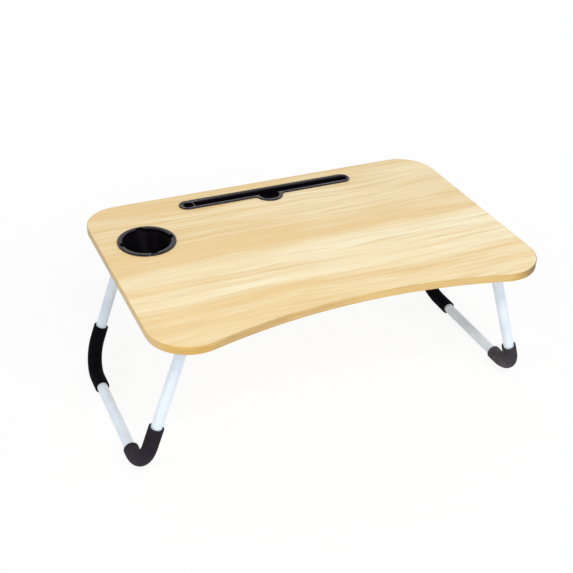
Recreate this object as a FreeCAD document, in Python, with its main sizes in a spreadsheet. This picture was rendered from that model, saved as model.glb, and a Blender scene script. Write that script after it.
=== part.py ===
import FreeCAD, Part
import math
import os
import re
import Sketcher
from FreeCAD import Placement, Rotation, Vector

# A folding lap desk, in millimetres. +Z is up, +X is to the sitter's right and +Y is away from the sitter.
# The origin is on the floor, under the middle of the board. The legs stand open.

SIZES = {
    # board
    "board_width": 600,
    "board_depth": 400,
    "board_thickness": 12,
    "table_height": 252,
    "back_corner_radius": 56,
    "front_corner_radius": 60,
    "front_hollow": 31.5,
    "laminate_thickness": 0.4,
    "band_thickness": 0.8,
    "band_edge_radius": 0.5,
    # lip that both black inserts rest on the board with
    "lip_step_width": 1.6,
    "lip_step_height": 0.9,
    "lip_bead_height": 2.0,
    "lip_edge_radius": 0.6,
    "insert_clearance": 0.3,
    "insert_wall": 1.6,
    # cup holder
    "cup_side_margin": 27.4,
    "cup_bracket_gap": 4.3,
    "cup_bore_radius": 35,
    "cup_lip_radius": 43.8,
    "cup_lip_overlap": 3,
    "cup_depth": 45,
    "cup_floor": 2,
    "cup_wall": 1.8,
    "cup_collar_depth": 6,
    "cup_notch_radius": 39.2,
    "cup_notch_width": 10.5,
    "cup_notch_depth": 4,
    "cup_notch_count": 4,
    "cup_floor_radius": 4,
    # tablet slot tray
    "tray_length": 298.4,
    "tray_width": 28.6,
    "tray_margin": 23.5,
    "tray_lip_overlap": 3.2,
    "channel_width": 14,
    "channel_depth": 13,
    "channel_rim": 4.2,
    "divider_thickness": 1.8,
    "pen_rim": 7,
    "pen_radius": 8.2,
    "pen_depth": 28,
    "thumb_forward": 9.6,
    "thumb_outer_radius": 24,
    "thumb_inner_radius": 16,
    "thumb_blend_radius": 6,
    "thumb_depth": 8,
    # legs
    "hinge_margin": 56,
    "leg_margin": 61,
    "splay_angle": 18.4,
    "tube_radius": 8.2,
    "tube_wall": 1.2,
    "bend_radius": 45,
    "tube_end": 6.51,
    # foot sleeves; each reaches a little differently along the upright and along the bar
    "sleeve_radius": 11.3,
    "sleeve_fit": 0.1,
    "sleeve_edge_radius": 0.7,
    "front_left_sleeve_upright": 33,
    "front_left_sleeve_bar": 8,
    "back_left_sleeve_upright": 25,
    "back_left_sleeve_bar": 26,
    "front_right_sleeve_upright": 16,
    "front_right_sleeve_bar": 14,
    "back_right_sleeve_upright": 16,
    "back_right_sleeve_bar": 33,
    # tube end plugs
    "plug_head_thickness": 1.0,
    "plug_head_inset": 0.3,
    "plug_stem_length": 3,
    "plug_fit": 0.05,
    # hinge brackets
    "bracket_end_margin": 7,
    "bracket_side_rim": 0.6,
    "bracket_base": 3,
    "swing_gap": 1.1,
    "bracket_corner_radius": 4,
    "cheek_thickness": 3.2,
    "cheek_radius": 9,
    "cheek_inboard": 15,
    "cheek_outboard": 20,
    "stop_gap": 0.3,
    "stop_end": 19,
    "stop_thickness": 3.2,
    "stop_backing": 3,
    # hinge pins and their washers
    "pin_radius": 2.5,
    "pin_seat": 0.03,
    "pin_running_fit": 0.08,
    "pin_head_radius": 4.5,
    "pin_head_height": 2.0,
    "pin_tail_radius": 3.8,
    "pin_tail_height": 1.5,
    "pin_dome_radius": 1.2,
    "washer_radius": 6,
    "washer_thickness": 0.8,
    "washer_play": 0.1,
    # bracket screws
    "screw_reach": 25,
    "screw_half_spacing": 7,
    "screw_radius": 1.75,
    "screw_hole_radius": 2.1,
    "screw_fit": 0.05,
    "screw_bite": 8,
    "screw_spare": 0.5,
    "screw_point": 2.5,
    "screw_head_radius": 3.6,
    "screw_head_height": 2.2,
    "screw_dome_radius": 1.0,
    "screw_slot_length": 4,
    "screw_slot_width": 0.9,
    "screw_slot_depth": 1.2,
    # how far a cut runs past the face it goes through
    "overrun": 2,
}

# Sizes worked out from the ones above.
FORMULAS = {
    "core_thickness": "board_thickness - 2 * laminate_thickness",
    "corner_span": "board_width / 2 - front_corner_radius",
    "hollow_radius": "(corner_span ^ 2 + front_hollow ^ 2) / (2 * front_hollow) - front_corner_radius",
    "hollow_centre": "board_depth / 2 - front_hollow + hollow_radius",
    "hinge_spread": "board_width / 2 - hinge_margin",
    "leg_half_spacing": "board_depth / 2 - leg_margin",
    "cup_left": "board_width / 2 - cup_side_margin - cup_lip_radius",
    "cup_back": "leg_half_spacing - bracket_half_width - cup_bracket_gap - cup_lip_radius",
    "cup_collar_radius": "cup_lip_radius - cup_lip_overlap",
    "cup_hole_radius": "cup_collar_radius + insert_clearance",
    "tray_end": "tray_length / 2 - tray_width / 2",
    "tray_back": "board_depth / 2 - tray_margin - tray_width / 2",
    "tray_hole_inset": "tray_lip_overlap - insert_clearance",
    "pen_left": "tray_length / 2 - pen_rim - pen_radius",
    "channel_left": "pen_left - pen_radius - divider_thickness",
    "channel_right": "tray_length / 2 - channel_rim",
    "thumb_back": "tray_back - thumb_forward",
    "plug_radius": "tube_radius - plug_head_inset",
    "swing_radius": "sqrt((tube_end + plug_head_thickness) ^ 2 + plug_radius ^ 2)",
    "pivot_drop": "swing_radius + swing_gap + bracket_base",
    "pivot_height": "table_height - board_thickness - pivot_drop",
    "leg_length": "(pivot_height - sleeve_radius) / cos(splay_angle)",
    "upright_end": "leg_length - bend_radius",
    "bar_end": "leg_half_spacing - bend_radius",
    "tube_bore": "tube_radius - tube_wall",
    "cheek_inside": "tube_radius + washer_thickness + 2 * washer_play",
    "cheek_outside": "cheek_inside + cheek_thickness",
    "bracket_half_width": "cheek_outside + bracket_side_rim",
    "bracket_half_length": "screw_reach + bracket_end_margin",
    "base_bottom": "pivot_drop - bracket_base",
    "stop_inside": "tube_radius + stop_gap",
    "stop_outside": "stop_inside + stop_thickness",
    "stop_start": "sqrt(base_bottom ^ 2 - stop_inside ^ 2)",
}

ORIGIN_POINT = (-1, 1)
VERTICAL_AXIS = (-2,)
START, END, CENTRE = range(1, 4)

# Two lengths closer than this are the same length.
SAME = 1e-4

# The most that a sweep's volume may differ from section times length.
SWEEP_ERROR_SHARE = 1e-3

doc = FreeCAD.newDocument("FoldingLapDesk")
sheet = doc.addObject("Spreadsheet::Sheet", "Sizes")
for row, (name, number) in enumerate(SIZES.items(), start=1):
    sheet.set("A%d" % row, name)
    sheet.set("B%d" % row, str(number))
    sheet.setAlias("B%d" % row, name)
doc.recompute()

parts = []


# Formulas

def bound(formula):
    """The formula with each size name pointing at the sheet."""
    def replace(match):
        word = match.group()
        if word in FORMULAS:
            return "(" + bound(FORMULAS[word]) + ")"
        if word in SIZES:
            return "Sizes." + word
        return word
    return re.sub(r"[a-z][a-z_]*", replace, formula)


def value(formula):
    """The formula's number, in millimetres or degrees."""
    return float(sheet.evalExpression(bound(formula)))


def minus(formula):
    return "-(" + formula + ")"


# Sketches

def new_body(name):
    body = doc.addObject("PartDesign::Body", name)
    body.Label = name
    parts.append(body)
    return body


def new_sketch(body, name, plane="XY_Plane", offset="0"):
    """A sketch on one of the body's own planes, moved along the plane's normal by the offset."""
    sketch = body.newObject("Sketcher::SketchObject", name)
    support = next(item for item in body.Origin.OriginFeatures if item.Role == plane)
    sketch.AttachmentSupport = [(support, "")]
    sketch.MapMode = "FlatFace"
    if offset != "0":
        sketch.setExpression(".AttachmentOffset.Base.z", bound(offset))
    doc.recompute()
    return sketch


def dimension(sketch, kind, places, formula):
    """A sketch dimension bound to a formula."""
    index = sketch.addConstraint(Sketcher.Constraint(kind, *places, value(formula)))
    sketch.setExpression("Constraints[%d]" % index, bound(formula))


def place_point(sketch, geometry, point, across, up):
    """Fix a sketch point at its distances from the sketch's origin."""
    dimension(sketch, "DistanceX", (*ORIGIN_POINT, geometry, point), across)
    dimension(sketch, "DistanceY", (*ORIGIN_POINT, geometry, point), up)


def add_circle(sketch, across, up, radius):
    centre = Vector(value(across), value(up), 0)
    geometry = sketch.addGeometry(Part.Circle(centre, Vector(0, 0, 1), value(radius)), False)
    dimension(sketch, "Radius", (geometry,), radius)
    place_point(sketch, geometry, CENTRE, across, up)
    return geometry


def add_polygon(sketch, corners):
    """A closed run of straight lines, each corner given by two formulas."""
    points = [Vector(value(across), value(up), 0) for across, up in corners]
    lines = []
    for point, following in zip(points, points[1:] + points[:1]):
        lines.append(sketch.addGeometry(Part.LineSegment(point, following), False))
    for line, following in zip(lines, lines[1:] + lines[:1]):
        sketch.addConstraint(Sketcher.Constraint("Coincident", line, END, following, START))
    for line, (across, up) in zip(lines, corners):
        place_point(sketch, line, START, across, up)


def add_line(sketch, start, end):
    return sketch.addGeometry(Part.LineSegment(start, end), False)


def add_arc(sketch, centre, radius, first, last):
    """An arc that runs counterclockwise between two directions, in radians."""
    circle = Part.Circle(centre, Vector(0, 0, 1), radius)
    return sketch.addGeometry(Part.ArcOfCircle(circle, first, last), False)


def join_tangent(sketch, joints):
    for first, first_end, second, second_end in joints:
        sketch.addConstraint(Sketcher.Constraint("Tangent", first, first_end, second, second_end))


# Features

def pad(body, sketch, length, down=False, both_ways=False):
    feature = body.newObject("PartDesign::Pad", "Pad")
    feature.Profile = sketch
    feature.setExpression("Length", bound(length))
    feature.Reversed = down
    feature.SideType = "Symmetric" if both_ways else "One side"
    doc.recompute()
    return feature


def pocket(body, sketch, length, up=False, both_ways=False):
    """Cut the sketch into the body. The cut has to take some material away."""
    before = body.Shape.Volume
    feature = body.newObject("PartDesign::Pocket", "Pocket")
    feature.Profile = sketch
    feature.setExpression("Length", bound(length))
    feature.Reversed = up
    feature.SideType = "Symmetric" if both_ways else "One side"
    doc.recompute()
    if body.Shape.Volume >= before:
        raise RuntimeError("a pocket in %s cuts nothing" % body.Label)
    return feature


def revolve(body, sketch):
    """Turn a half section about the body's Z axis."""
    feature = body.newObject("PartDesign::Revolution", "Revolution")
    feature.Profile = sketch
    feature.ReferenceAxis = (sketch, ["V_Axis"])
    doc.recompute()
    return feature


def fillet(body, radius, wanted):
    """Round the edges that the test picks out."""
    base = body.Tip
    names = ["Edge%d" % (number + 1) for number, edge in enumerate(base.Shape.Edges) if wanted(edge)]
    if not names:
        raise RuntimeError("no edge to round in %s" % body.Label)
    feature = body.newObject("PartDesign::Fillet", "Fillet")
    feature.Base = (base, names)
    feature.setExpression("Radius", bound(radius))
    doc.recompute()
    return feature


def near(first, second):
    return math.isclose(first, second, abs_tol=SAME)


def lies_at_height(edge, height):
    """Whether the whole edge lies in the level plane at this height."""
    box = edge.BoundBox
    return near(box.ZMin, height) and near(box.ZMax, height)


# The board

def draw_board_outline(sketch, inset="0"):
    """Straight back and sides, round corners and a hollowed front, drawn inset from the board's rim."""
    half_width = "board_width / 2 - (%s)" % inset
    half_depth = "board_depth / 2 - (%s)" % inset
    back_radius = "back_corner_radius - (%s)" % inset
    front_radius = "front_corner_radius - (%s)" % inset
    hollow_radius = "hollow_radius + (%s)" % inset
    side = value(half_width)
    back = value(half_depth)
    back_across = value("board_width / 2 - back_corner_radius")
    back_up = value("board_depth / 2 - back_corner_radius")
    front_across = value("corner_span")
    front_up = value("front_corner_radius - board_depth / 2")
    hollow_up = value("-hollow_centre")
    lean = math.atan2(front_up - hollow_up, front_across)

    back_line = add_line(sketch, Vector(back_across, back, 0), Vector(-back_across, back, 0))
    back_left = add_arc(sketch, Vector(-back_across, back_up, 0), value(back_radius), math.pi / 2, math.pi)
    left_line = add_line(sketch, Vector(-side, back_up, 0), Vector(-side, front_up, 0))
    front_left = add_arc(sketch, Vector(-front_across, front_up, 0), value(front_radius),
                         math.pi, 2 * math.pi - lean)
    hollow = add_arc(sketch, Vector(0, hollow_up, 0), value(hollow_radius), lean, math.pi - lean)
    front_right = add_arc(sketch, Vector(front_across, front_up, 0), value(front_radius),
                          math.pi + lean, 2 * math.pi)
    right_line = add_line(sketch, Vector(side, front_up, 0), Vector(side, back_up, 0))
    back_right = add_arc(sketch, Vector(back_across, back_up, 0), value(back_radius), 0, math.pi / 2)

    join_tangent(sketch, [
        (back_line, END, back_left, START),
        (back_left, END, left_line, START),
        (left_line, END, front_left, START),
        (front_left, END, hollow, END),
        (hollow, START, front_right, START),
        (front_right, END, right_line, START),
        (right_line, END, back_right, START),
        (back_right, END, back_line, START),
    ])
    sketch.addConstraint(Sketcher.Constraint("Horizontal", back_line))
    sketch.addConstraint(Sketcher.Constraint("Vertical", left_line))
    sketch.addConstraint(Sketcher.Constraint("Vertical", right_line))
    dimension(sketch, "DistanceX", (*ORIGIN_POINT, right_line, START), half_width)
    dimension(sketch, "DistanceX", (left_line, START, *ORIGIN_POINT), half_width)
    dimension(sketch, "DistanceY", (*ORIGIN_POINT, back_line, START), half_depth)
    for arc in (back_left, back_right):
        dimension(sketch, "Radius", (arc,), back_radius)
    for arc in (front_left, front_right):
        dimension(sketch, "Radius", (arc,), front_radius)
        dimension(sketch, "DistanceY", (arc, CENTRE, *ORIGIN_POINT), "board_depth / 2 - front_corner_radius")
    dimension(sketch, "Radius", (hollow,), hollow_radius)


def draw_tray_outline(sketch, inset="0"):
    """A long slot with round ends and a round thumb lobe blended into its front, drawn inset."""
    end_radius = "tray_width / 2 - (%s)" % inset
    lobe_radius = "thumb_outer_radius - (%s)" % inset
    blend_radius = "thumb_blend_radius + (%s)" % inset
    end_across = value("tray_end")
    middle = value("tray_back")
    half = value(end_radius)
    front = middle - half
    lobe_up = value("thumb_back")
    blend = value(blend_radius)
    reach = value(lobe_radius) + blend
    rise = lobe_up - front + blend
    blend_across = math.sqrt(reach ** 2 - rise ** 2)
    lean = math.atan2(rise, blend_across)

    back_line = add_line(sketch, Vector(end_across, middle + half, 0), Vector(-end_across, middle + half, 0))
    left_end = add_arc(sketch, Vector(-end_across, middle, 0), half, math.pi / 2, math.pi * 3 / 2)
    front_left = add_line(sketch, Vector(-end_across, front, 0), Vector(-blend_across, front, 0))
    left_blend = add_arc(sketch, Vector(-blend_across, front - blend, 0), blend, lean, math.pi / 2)
    lobe = add_arc(sketch, Vector(0, lobe_up, 0), value(lobe_radius), math.pi + lean, 2 * math.pi - lean)
    right_blend = add_arc(sketch, Vector(blend_across, front - blend, 0), blend, math.pi / 2, math.pi - lean)
    front_right = add_line(sketch, Vector(blend_across, front, 0), Vector(end_across, front, 0))
    right_end = add_arc(sketch, Vector(end_across, middle, 0), half, -math.pi / 2, math.pi / 2)

    join_tangent(sketch, [
        (back_line, END, left_end, START),
        (left_end, END, front_left, START),
        (front_left, END, left_blend, END),
        (left_blend, START, lobe, START),
        (lobe, END, right_blend, END),
        (right_blend, START, front_right, START),
        (front_right, END, right_end, START),
        (right_end, END, back_line, START),
    ])
    for line in (back_line, front_left, front_right):
        sketch.addConstraint(Sketcher.Constraint("Horizontal", line))
    sketch.addConstraint(Sketcher.Constraint("Equal", left_end, right_end))
    sketch.addConstraint(Sketcher.Constraint("PointOnObject", lobe, CENTRE, *VERTICAL_AXIS))
    dimension(sketch, "Radius", (left_end,), end_radius)
    dimension(sketch, "DistanceY", (*ORIGIN_POINT, left_end, CENTRE), "tray_back")
    dimension(sketch, "DistanceX", (left_end, CENTRE, *ORIGIN_POINT), "tray_end")
    dimension(sketch, "DistanceX", (*ORIGIN_POINT, right_end, CENTRE), "tray_end")
    dimension(sketch, "Radius", (lobe,), lobe_radius)
    dimension(sketch, "DistanceY", (*ORIGIN_POINT, lobe, CENTRE), "thumb_back")
    for arc in (left_blend, right_blend):
        dimension(sketch, "Radius", (arc,), blend_radius)


def draw_slot(sketch, inset):
    """The tray's long slot alone, without its thumb lobe."""
    half = "tray_width / 2 - (%s)" % inset
    across = value("tray_end")
    middle = value("tray_back")
    radius = value(half)
    back_line = add_line(sketch, Vector(across, middle + radius, 0), Vector(-across, middle + radius, 0))
    left_end = add_arc(sketch, Vector(-across, middle, 0), radius, math.pi / 2, math.pi * 3 / 2)
    front_line = add_line(sketch, Vector(-across, middle - radius, 0), Vector(across, middle - radius, 0))
    right_end = add_arc(sketch, Vector(across, middle, 0), radius, -math.pi / 2, math.pi / 2)
    join_tangent(sketch, [
        (back_line, END, left_end, START),
        (left_end, END, front_line, START),
        (front_line, END, right_end, START),
        (right_end, END, back_line, START),
    ])
    sketch.addConstraint(Sketcher.Constraint("Equal", left_end, right_end))
    dimension(sketch, "Radius", (left_end,), half)
    place_point(sketch, left_end, CENTRE, "-tray_end", "tray_back")
    place_point(sketch, right_end, CENTRE, "tray_end", "tray_back")


def screw_places():
    """Where the bracket screws go in, seen from above, as pairs of formulas."""
    places = []
    for side in ("", "-"):
        for end in ("", "-"):
            for along in ("", "-"):
                for across in ("", "-"):
                    places.append(("%shinge_spread + %sscrew_reach" % (side, along),
                                   "%sleg_half_spacing + %sscrew_half_spacing" % (end, across)))
    return places


def make_panel(name, top, thickness, screwed):
    """One sheet of the board, with the openings for the cup holder and the tray."""
    body = new_body(name)
    sketch = new_sketch(body, name + "_outline", offset=top)
    draw_board_outline(sketch, "band_thickness")
    add_circle(sketch, "-cup_left", "cup_back", "cup_hole_radius")
    draw_tray_outline(sketch, "tray_hole_inset")
    pad(body, sketch, thickness, down=True)
    if screwed:
        holes = new_sketch(body, name + "_screw_holes", offset="-board_thickness")
        for across, up in screw_places():
            add_circle(holes, across, up, "screw_radius + screw_fit")
        pocket(body, holes, "screw_bite + screw_spare", up=True)
    body.setExpression(".Placement.Base.z", bound("table_height"))


def make_edge_band():
    body = new_body("edge_band")
    outside = new_sketch(body, "band_outside")
    draw_board_outline(outside)
    pad(body, outside, "board_thickness", down=True)
    heights = (0, -value("board_thickness"))
    fillet(body, "band_edge_radius", lambda edge: any(lies_at_height(edge, height) for height in heights))
    inside = new_sketch(body, "band_inside", offset="overrun")
    draw_board_outline(inside, "band_thickness")
    pocket(body, inside, "board_thickness + 2 * overrun")
    body.setExpression(".Placement.Base.z", bound("table_height"))


# The black inserts

def make_cup_holder():
    """A straight well with a stepped lip on the board and notches round its shoulder."""
    body = new_body("cup_holder")
    section = new_sketch(body, "cup_section", plane="XZ_Plane")
    outside = "cup_bore_radius + cup_wall"
    step = "cup_lip_radius - lip_step_width"
    bottom = "-(cup_depth + cup_floor)"
    add_polygon(section, [
        ("0", bottom),
        (outside, bottom),
        (outside, "-cup_collar_depth"),
        ("cup_collar_radius", "-cup_collar_depth"),
        ("cup_collar_radius", "0"),
        ("cup_lip_radius", "0"),
        ("cup_lip_radius", "lip_step_height"),
        (step, "lip_step_height"),
        (step, "lip_bead_height"),
        ("cup_bore_radius", "lip_bead_height"),
        ("cup_bore_radius", "-cup_depth"),
        ("0", "-cup_depth"),
    ])
    revolve(body, section)
    top = value("lip_bead_height")
    floors = (-value("cup_depth"), value(bottom))
    fillet(body, "cup_floor_radius", lambda edge: any(lies_at_height(edge, height) for height in floors))
    fillet(body, "lip_edge_radius", lambda edge: lies_at_height(edge, top))
    notch = new_sketch(body, "cup_notch", offset="lip_bead_height")
    inner = "cup_bore_radius - overrun"
    half = "cup_notch_width / 2"
    add_polygon(notch, [(inner, minus(half)), ("cup_notch_radius", minus(half)),
                        ("cup_notch_radius", half), (inner, half)])
    cut = pocket(body, notch, "lip_bead_height + cup_notch_depth")
    pattern = body.newObject("PartDesign::PolarPattern", "cup_notches")
    pattern.Originals = [cut]
    pattern.Axis = (notch, ["N_Axis"])
    pattern.setExpression("Occurrences", bound("cup_notch_count"))
    body.Tip = pattern
    body.setExpression(".Placement.Base.x", bound("-cup_left"))
    body.setExpression(".Placement.Base.y", bound("cup_back"))
    body.setExpression(".Placement.Base.z", bound("table_height"))
    doc.recompute()


def make_tray():
    """The tablet slot: a stepped lip, a channel, a pen well and a thumb notch."""
    body = new_body("tablet_slot_tray")
    lip = new_sketch(body, "tray_lip")
    draw_tray_outline(lip)
    pad(body, lip, "lip_step_height")
    bead = new_sketch(body, "tray_bead")
    draw_tray_outline(bead, "lip_step_width")
    pad(body, bead, "lip_bead_height")
    shell = new_sketch(body, "tray_shell")
    draw_tray_outline(shell, "tray_lip_overlap")
    pad(body, shell, "thumb_depth + insert_wall", down=True)
    slot = new_sketch(body, "tray_slot")
    draw_slot(slot, "tray_lip_overlap")
    pad(body, slot, "channel_depth + insert_wall", down=True)
    well = new_sketch(body, "pen_well")
    add_circle(well, "-pen_left", "tray_back", "pen_radius + insert_wall")
    pad(body, well, "pen_depth + insert_wall", down=True)

    channel = new_sketch(body, "channel", offset="lip_bead_height")
    draw_channel(channel)
    pocket(body, channel, "lip_bead_height + channel_depth")
    thumb = new_sketch(body, "thumb_notch", offset="lip_bead_height")
    add_circle(thumb, "0", "thumb_back", "thumb_inner_radius")
    pocket(body, thumb, "lip_bead_height + thumb_depth")
    pen = new_sketch(body, "pen_hole", offset="lip_bead_height")
    add_circle(pen, "-pen_left", "tray_back", "pen_radius")
    pocket(body, pen, "lip_bead_height + pen_depth")
    top = value("lip_bead_height")
    fillet(body, "lip_edge_radius", lambda edge: lies_at_height(edge, top))
    body.setExpression(".Placement.Base.z", bound("table_height"))
    doc.recompute()


def draw_channel(sketch):
    """The channel is square at the pen well's divider and round at its far end."""
    half = value("channel_width / 2")
    middle = value("tray_back")
    left = -value("channel_left")
    centre = value("channel_right - channel_width / 2")
    back_line = add_line(sketch, Vector(centre, middle + half, 0), Vector(left, middle + half, 0))
    left_line = add_line(sketch, Vector(left, middle + half, 0), Vector(left, middle - half, 0))
    front_line = add_line(sketch, Vector(left, middle - half, 0), Vector(centre, middle - half, 0))
    right_end = add_arc(sketch, Vector(centre, middle, 0), half, -math.pi / 2, math.pi / 2)
    sketch.addConstraint(Sketcher.Constraint("Coincident", back_line, END, left_line, START))
    sketch.addConstraint(Sketcher.Constraint("Coincident", left_line, END, front_line, START))
    join_tangent(sketch, [(front_line, END, right_end, START), (right_end, END, back_line, START)])
    sketch.addConstraint(Sketcher.Constraint("Horizontal", back_line))
    sketch.addConstraint(Sketcher.Constraint("Horizontal", front_line))
    sketch.addConstraint(Sketcher.Constraint("Vertical", left_line))
    dimension(sketch, "Radius", (right_end,), "channel_width / 2")
    place_point(sketch, right_end, CENTRE, "channel_right - channel_width / 2", "tray_back")
    dimension(sketch, "DistanceX", (left_line, START, *ORIGIN_POINT), "channel_left")


# The legs

def leg_placement(side):
    """The leg's own frame has X along the pins, Y up the uprights and its origin on the pins' line."""
    lean = math.radians(value("splay_angle"))
    along = Vector(0, 1, 0)
    upwards = Vector(-side * math.sin(lean), 0, math.cos(lean))
    base = Vector(side * value("hinge_spread"), 0, value("pivot_height"))
    return Placement(base, Rotation(along, upwards, along.cross(upwards), "XYZ"))


def make_leg_tube(name, side):
    """A U of round tube: two uprights, two bends and the bar on the floor."""
    body = new_body(name)
    path = new_sketch(body, name + "_path")
    spacing = value("leg_half_spacing")
    top = value("tube_end")
    upright = value("upright_end")
    floor = value("leg_length")
    bar = value("bar_end")
    bend = value("bend_radius")
    front = add_line(path, Vector(-spacing, top, 0), Vector(-spacing, -upright, 0))
    front_bend = add_arc(path, Vector(-bar, -upright, 0), bend, math.pi, math.pi * 3 / 2)
    foot = add_line(path, Vector(-bar, -floor, 0), Vector(bar, -floor, 0))
    back_bend = add_arc(path, Vector(bar, -upright, 0), bend, -math.pi / 2, 0)
    back = add_line(path, Vector(spacing, -upright, 0), Vector(spacing, top, 0))
    join_tangent(path, [
        (front, END, front_bend, START),
        (front_bend, END, foot, START),
        (foot, END, back_bend, START),
        (back_bend, END, back, START),
    ])
    path.addConstraint(Sketcher.Constraint("Vertical", front))
    path.addConstraint(Sketcher.Constraint("Vertical", back))
    path.addConstraint(Sketcher.Constraint("Horizontal", foot))
    place_point(path, front, START, "-leg_half_spacing", "tube_end")
    place_point(path, back, END, "leg_half_spacing", "tube_end")
    dimension(path, "Radius", (front_bend,), "bend_radius")
    dimension(path, "Radius", (back_bend,), "bend_radius")
    dimension(path, "DistanceY", (foot, START, *ORIGIN_POINT), "leg_length")
    section = new_sketch(body, name + "_section", plane="XZ_Plane", offset="-tube_end")
    add_circle(section, "-leg_half_spacing", "0", "tube_radius")
    add_circle(section, "-leg_half_spacing", "0", "tube_bore")
    sweep(body, section, path)
    hole = new_sketch(body, name + "_pin_holes", plane="YZ_Plane")
    add_circle(hole, "0", "0", "pin_radius + pin_running_fit")
    pocket(body, hole, "2 * (leg_half_spacing + tube_radius + overrun)", both_ways=True)
    body.Placement = leg_placement(side)


def sweep(body, section, path):
    """Carry a section along a path and compare the volume with section times length."""
    feature = body.newObject("PartDesign::AdditivePipe", "Pipe")
    feature.Profile = section
    feature.Spine = (path, ["Edge%d" % (number + 1) for number in range(len(path.Shape.Edges))])
    doc.recompute()
    rings = sorted(wire.Edges[0].Curve.Radius for wire in section.Shape.Wires)
    expected = math.pi * (rings[1] ** 2 - rings[0] ** 2) * path.Shape.Length
    if abs(feature.Shape.Volume / expected - 1) > SWEEP_ERROR_SHARE:
        raise RuntimeError("the sweep in %s has the wrong volume" % body.Label)


def make_sleeve(name, side, end):
    """A soft sleeve over one foot bend. It reaches up the upright and along the bar."""
    body = new_body(name)
    upright = name + "_upright"
    bar = name + "_bar"
    sign = "-" if end < 0 else ""
    spacing = end * value("leg_half_spacing")
    bar_end = end * value("bar_end")
    turn = value("upright_end")
    floor = value("leg_length")
    path = new_sketch(body, name + "_path")
    up = add_line(path, Vector(spacing, value(upright) - turn, 0), Vector(spacing, -turn, 0))
    if end < 0:
        bend = add_arc(path, Vector(bar_end, -turn, 0), value("bend_radius"), math.pi, math.pi * 3 / 2)
        near_upright, near_bar = START, END
    else:
        bend = add_arc(path, Vector(bar_end, -turn, 0), value("bend_radius"), -math.pi / 2, 0)
        near_upright, near_bar = END, START
    along = add_line(path, Vector(bar_end, -floor, 0), Vector(bar_end - end * value(bar), -floor, 0))
    join_tangent(path, [(up, END, bend, near_upright), (bend, near_bar, along, START)])
    path.addConstraint(Sketcher.Constraint("Vertical", up))
    path.addConstraint(Sketcher.Constraint("Horizontal", along))
    dimension(path, "Radius", (bend,), "bend_radius")
    place_point(path, up, START, sign + "leg_half_spacing", "%s - upright_end" % upright)
    place_point(path, along, END, "%s(bar_end - %s)" % (sign, bar), "-leg_length")
    section = new_sketch(body, name + "_section", plane="XZ_Plane", offset="upright_end - %s" % upright)
    add_circle(section, sign + "leg_half_spacing", "0", "sleeve_radius")
    add_circle(section, sign + "leg_half_spacing", "0", "tube_radius + sleeve_fit")
    sweep(body, section, path)
    rim = value("sleeve_radius")
    fillet(body, "sleeve_edge_radius", lambda edge: is_circle(edge, rim) and is_sleeve_end(edge, path))
    body.Placement = leg_placement(side)


def is_circle(edge, radius):
    return hasattr(edge.Curve, "Radius") and near(edge.Curve.Radius, radius)


def is_sleeve_end(edge, path):
    """Whether a rim is centred on one of the two free ends of the sleeve's path."""
    ends = (path.Shape.Vertexes[0].Point, path.Shape.Vertexes[-1].Point)
    return any(near(edge.Curve.Center.distanceToPoint(point), 0) for point in ends)


def make_end_plug(name, side, end):
    """A plug pushed into a tube's upper end, short of the pin."""
    body = new_body(name)
    section = new_sketch(body, name + "_section", plane="XZ_Plane")
    stem = "tube_bore - plug_fit"
    add_polygon(section, [
        ("0", "-plug_stem_length"),
        (stem, "-plug_stem_length"),
        (stem, "0"),
        ("plug_radius", "0"),
        ("plug_radius", "plug_head_thickness"),
        ("0", "plug_head_thickness"),
    ])
    revolve(body, section)
    seat = Vector(end * value("leg_half_spacing"), value("tube_end"), 0)
    body.Placement = leg_placement(side) * Placement(seat, Rotation(Vector(0, 0, 1), Vector(0, 1, 0)))


# The hinges

def hinge_placement(side, end):
    """A hinge's own frame has X pointing outboard, Y along the pin and its origin in the tube."""
    base = Vector(side * value("hinge_spread"), end * value("leg_half_spacing"), value("pivot_height"))
    return Placement(base, Rotation(Vector(0, 0, 1), 0 if side > 0 else 180))


def beside_leg(along, out):
    """A point beside the open leg: along it from the pin, and out from its middle line."""
    across = "(%s) * sin(splay_angle) + (%s) * cos(splay_angle)" % (along, out)
    up = "(%s) * sin(splay_angle) - (%s) * cos(splay_angle)" % (out, along)
    return across, up


def make_bracket(name, side, end):
    """A moulded bracket: a screwed base, two cheeks that hold the pin and a stop for the open leg."""
    body = new_body(name)
    base = new_sketch(body, name + "_base", offset="base_bottom")
    length = "bracket_half_length"
    width = "bracket_half_width"
    add_polygon(base, [(minus(length), minus(width)), (length, minus(width)),
                       (length, width), (minus(length), width)])
    pad(body, base, "bracket_base")
    thickness = value("bracket_base")
    fillet(body, "bracket_corner_radius", lambda edge: near(edge.BoundBox.ZLength, thickness))

    cheeks = new_sketch(body, name + "_cheeks", plane="XZ_Plane")
    draw_cheeks(cheeks)
    pad(body, cheeks, "2 * cheek_outside", both_ways=True)
    gap = new_sketch(body, name + "_gap", plane="XZ_Plane")
    left = "-(cheek_inboard + overrun)"
    right = "cheek_outboard + overrun"
    low = "-(stop_end + overrun)"
    add_polygon(gap, [
        (left, "base_bottom"),
        (left, low),
        beside_leg("stop_end + overrun", "stop_inside"),
        beside_leg("stop_start", "stop_inside"),
        beside_leg("stop_start", "cheek_outboard"),
        (right, "base_bottom"),
    ])
    pocket(body, gap, "2 * cheek_inside", both_ways=True)
    hole = new_sketch(body, name + "_pin_hole", plane="XZ_Plane")
    add_circle(hole, "0", "0", "pin_radius + pin_seat")
    pocket(body, hole, "2 * (cheek_outside + overrun)", both_ways=True)
    screws = new_sketch(body, name + "_screw_holes", offset="pivot_drop")
    for along in ("", "-"):
        for across in ("", "-"):
            add_circle(screws, along + "screw_reach", across + "screw_half_spacing", "screw_hole_radius")
    pocket(body, screws, "bracket_base + overrun")
    body.Placement = hinge_placement(side, end)


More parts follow.
